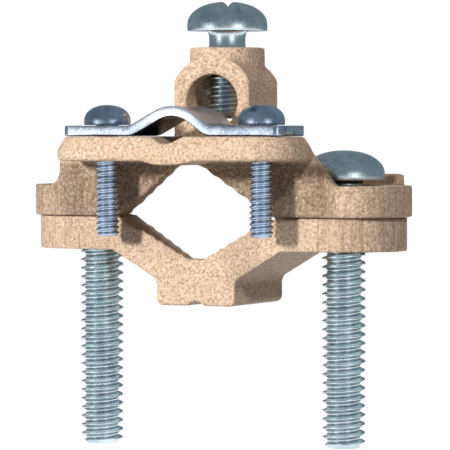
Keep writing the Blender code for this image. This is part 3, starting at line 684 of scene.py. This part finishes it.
def bright_zinc():
    """Bright zinc on sheared strip: blue-grey clouds and short scratches from the press on
    its flat ends, which fade on the hump, whose upper part has a painted white highlight. The
    faces that look up have painted shade and are duller, and the underside has painted shade."""
    finish = Finish(bpy.data.materials.new("bright_zinc"))
    place = finish.place()
    height_above = finish.along("Z", place)
    cloud = finish.noise(place, STEEL_CLOUDS_PER_METRE, 4.0, 0.65)
    streak = finish.noise(place, SCRATCHES_PER_METRE, 3.0, 0.7, SCRATCH_STRETCH)
    colour = finish.mix(finish.step(cloud, 0.35, 0.6), STEEL_DARK, STEEL_BODY)
    colour = finish.mix(finish.step(streak, 0.45, 0.7, 0.0, 0.7), colour, STEEL_SCRATCH_AND_HIGHLIGHT)
    # Painted highlight: the hump's upper part is painted almost white.
    hump_highlight = finish.step(height_above, HUMP_HIGHLIGHT_FROM, HUMP_HIGHLIGHT_TO, 0.0, 0.9)
    colour = finish.mix(hump_highlight, colour, STEEL_SCRATCH_AND_HIGHLIGHT)
    facing_up = finish.along("Z", finish.node("ShaderNodeNewGeometry", output="Normal"))
    # Painted shade: faces that look up are darkened and made less metallic.
    top = finish.step(facing_up, 0.35, 0.7)
    colour = finish.mix(top, colour, STEEL_TOP_SHADE, "MULTIPLY")
    # Painted shade: faces that look down are painted dark navy.
    colour = finish.mix(finish.step(facing_up, -0.3, -0.6), colour, STEEL_SHADE)
    return finish.shade(Base_Color=colour,
                        Metallic=finish.step(top, 0.0, 1.0, 1.0, STEEL_TOP_METALLIC),
                        Roughness=finish.step(cloud, 0.3, 0.7, 0.14, 0.26),
                        Normal=finish.relief(streak, ZINC_RELIEF, 0.5))


strap = bent_strap("cable_strap_bent")
strap_low, strap_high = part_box("cable_strap")
for side in (-1, 1):
    punch(strap, side * STRAP_SCREW_SPACING / 2, (strap_low.y + strap_high.y) / 2,
          STRAP_HOLE_RADIUS, strap_low.z - MM, strap_low.z + 3 * MM)
strap.data.materials.clear()
strap.data.materials.append(bright_zinc())
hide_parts("cable_strap")
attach(strap, "cable_strap_body")

# Strap screws: smaller slotted round-head screws with a 6-32 thread, plated a bluer zinc.
# They pass through the strap and are threaded into the shelf, and their ends hang below it.
FINE_PITCH = INCH / 32
STRAP_CREST = 1.68 * MM
STRAP_ROOT = 1.4 * MM
STRAP_NECK = 1.4 * MM
STRAP_NECK_LENGTH = 0.6 * MM
STRAP_SLOT_WIDTH = 1.05 * MM
STRAP_SLOT_DEPTH = 1.1 * MM
STRAP_HEAD_HEIGHT = 3.0 * MM
STRAP_GRID = (16, 10)
STRAP_LEFT_SLOT_DEGREES = 20
STRAP_RIGHT_SLOT_DEGREES = -93
BLUE_DARK = (0.30, 0.38, 0.50)
BLUE_BODY = (0.52, 0.63, 0.78)
BLUE_LIGHT = (0.78, 0.85, 0.94)
BLUE_ROUGHNESS = 0.2

blue_zinc = zinc_plate("blue_zinc_plate", BLUE_DARK, BLUE_BODY, BLUE_LIGHT, BLUE_ROUGHNESS)
number_six = (STRAP_HEAD_HEIGHT, (STRAP_SLOT_WIDTH, STRAP_SLOT_DEPTH), STRAP_NECK,
              (STRAP_CREST, STRAP_ROOT, FINE_PITCH), STRAP_GRID)
for side, slot_degrees in (("left", STRAP_LEFT_SLOT_DEGREES), ("right", STRAP_RIGHT_SLOT_DEGREES)):
    node = f"strap_screw_{side}"
    screw = machine_screw(node, number_six, slot_degrees, STRAP_NECK_LENGTH)
    screw.data.materials.append(blue_zinc)
    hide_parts(node)
    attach(screw, f"{node}_body")

# Studio: a pale floor in a white room, low enough for the lower jaw at its full travel, a
# hard key light low on the left, softer ones on the right and behind, and a dim tent with two
# windows and two bright strips, which only the metal reflects. A long lens looks at the front.
FLOOR_CLEARANCE = 4.2 * MM
FLOOR_RADIUS = 0.25
FLOOR_SIDES = 72
FLOOR_COLOUR = (0.3, 0.3, 0.3)
FLOOR_GLOW_NEAR = (0.90, 0.90, 0.90)
FLOOR_GLOW_FAR = (1.0, 1.0, 1.0)
FLOOR_GLOW_FADE = (0.07, 0.18)
ROOM_LIGHT = 0.012
TENT_GLOW = (0.21, 0.255, 0.285)
TENT_RADIUS = 0.7
TENT_BOTTOM = -18
TENT_TURN_STEP = 6
TENT_RISE_STEP = 3
WINDOW_AZIMUTHS = (-55, 30)
WINDOW_HALF_WIDTH = 20
WINDOW_TOP = 9
STRIP_HALF_WIDTH = 8
STRIP_TOP = 3
STRIP_STRENGTH = 3.0
BLACK = (0.0, 0.0, 0.0)
WHITE = (1.0, 1.0, 1.0)
CAMERA_AZIMUTH = 24.0
CAMERA_DISTANCE = 500 * MM
CAMERA_HEIGHT = 12.3 * MM
LOOK_AT = (0.51 * MM, 0.23 * MM, -1.35 * MM)
LENS = 278.0
SENSOR = 36.0


def stage_mesh(name, points, faces):
    """Put up a surface that belongs to the studio and not to the object."""
    mesh = bpy.data.meshes.new(name)
    mesh.from_pydata(points, [], faces)
    surface = add_object(name, mesh)
    return surface


def towards(azimuth, elevation):
    """Directions of length one from the object, for angles in degrees: the azimuth turns from
    the front to the right, and the elevation rises from the level."""
    turn, rise = np.broadcast_arrays(np.radians(azimuth), np.radians(elevation))
    across = np.cos(rise)
    return np.stack((np.sin(turn) * across, -np.cos(turn) * across, np.sin(rise)), axis=-1)


def looked_at(finish, otherwise):
    """1 for the lens, a gloss or a pane, and another value for light that a surface scatters."""
    rays = ("Is Camera Ray", "Is Glossy Ray", "Is Transmission Ray")
    seen = sum(finish.node("ShaderNodeLightPath", output=ray) for ray in rays)
    return finish.step(seen, 0.0, 1.0, otherwise)


def studio_floor(level):
    """A pale disc. It glows for the lens, a gloss or a pane, so that it is white but for the
    object's shadow, and at its rim it is as white as the room."""
    turn = np.linspace(0, math.tau, FLOOR_SIDES + 1)[:-1]
    rim = np.column_stack((FLOOR_RADIUS * np.cos(turn), FLOOR_RADIUS * np.sin(turn),
                           np.full(FLOOR_SIDES, level)))
    floor = stage_mesh("studio_floor", rim.tolist(), [tuple(range(FLOOR_SIDES))])
    finish = Finish(bpy.data.materials.new("studio_floor"))
    from_middle = finish.node("ShaderNodeVectorMath", {"operation": "LENGTH"},
                              {"Vector": finish.place()}, output="Value")
    glow = finish.mix(finish.step(from_middle, *FLOOR_GLOW_FADE), FLOOR_GLOW_NEAR, FLOOR_GLOW_FAR)
    glow = finish.mix(looked_at(finish, 0.0), BLACK, glow)
    floor.data.materials.append(finish.shade(
        Base_Color=FLOOR_COLOUR, Roughness=0.9, Emission_Color=glow, Emission_Strength=1.0))


def dim_tent():
    """A dim sphere round the studio, seen by glossy rays alone. Two low windows in front of
    the object let the metal reflect the white room, each with a bright strip in its middle.
    The azimuths here count from the lens's, and grow to the right."""
    azimuths = np.arange(-180, 181, TENT_TURN_STEP)
    heights = np.arange(TENT_BOTTOM, 91, TENT_RISE_STEP)
    points = TENT_RADIUS * towards(azimuths[None, :] + CAMERA_AZIMUTH, heights[:, None])
    faces = grid_faces(len(heights), len(azimuths))
    row, column = np.divmod(faces[:, 0], len(azimuths))
    middle = azimuths[column] + TENT_TURN_STEP / 2
    aside = np.min([np.abs(middle - azimuth) for azimuth in WINDOW_AZIMUTHS], axis=0)
    window = (aside < WINDOW_HALF_WIDTH) & (heights[row] < WINDOW_TOP)
    strip = (aside < STRIP_HALF_WIDTH) & (heights[row] < STRIP_TOP)
    for name, kept, colour, strength in (("dim_tent", ~window, TENT_GLOW, 1.0),
                                         ("bright_strips", strip, WHITE, STRIP_STRENGTH)):
        tent = stage_mesh(name, points.reshape(-1, 3).tolist(), faces[kept].tolist())
        finish = Finish(bpy.data.materials.new(name))
        tent.data.materials.append(finish.shade(
            Base_Color=BLACK, Roughness=1.0, Emission_Color=colour, Emission_Strength=strength))
        tent.visible_camera = False
        tent.visible_diffuse = False
        tent.visible_transmission = False
        tent.visible_shadow = False


def white_room():
    """A world that is white to the lens, a gloss or a pane, and a dim grey to the rest."""
    world = bpy.data.worlds.new("white_room")
    finish = Finish(world, "Background")
    finish.shade(Color=WHITE, Strength=looked_at(finish, ROOM_LIGHT))
    bpy.context.scene.world = world


def soft_light(name, azimuth, elevation, distance, size, power):
    """Stand a rectangular area light round the object, facing it. Its angles are as for
    towards, its distance and its width and height are in metres, and its power in watts."""
    light = bpy.data.lights.new(name, "AREA")
    light.shape = "RECTANGLE"
    light.size, light.size_y = size
    light.energy = power
    lamp = add_object(name, light)
    lamp.location = towards(azimuth, elevation) * distance
    lamp.rotation_euler = (math.radians(90 - elevation), 0, math.radians(azimuth))
    lamp.visible_glossy = False


studio_floor(solids_box[0].z - FLOOR_CLEARANCE)
dim_tent()
white_room()
soft_light("key_light", azimuth=-26, elevation=13, distance=0.4, size=(0.03, 0.05), power=2.05)
soft_light("right_light", azimuth=50, elevation=38, distance=0.5, size=(0.04, 0.07), power=1.3)
soft_light("back_light", azimuth=200, elevation=35, distance=0.5, size=(0.15, 0.2), power=1.5)

bpy.context.scene.view_settings.view_transform = "Standard"
lens = bpy.data.cameras.new("camera")
lens.lens = LENS
lens.sensor_width = SENSOR
camera = add_object("camera", lens)
turn = math.radians(CAMERA_AZIMUTH)
camera.location = (
    LOOK_AT[0] + CAMERA_DISTANCE * math.sin(turn),
    LOOK_AT[1] - CAMERA_DISTANCE * math.cos(turn),
    CAMERA_HEIGHT,
)
tilt = math.atan2(CAMERA_HEIGHT - LOOK_AT[2], CAMERA_DISTANCE)
camera.rotation_euler = (math.pi / 2 - tilt, 0, turn)
bpy.context.scene.camera = camera
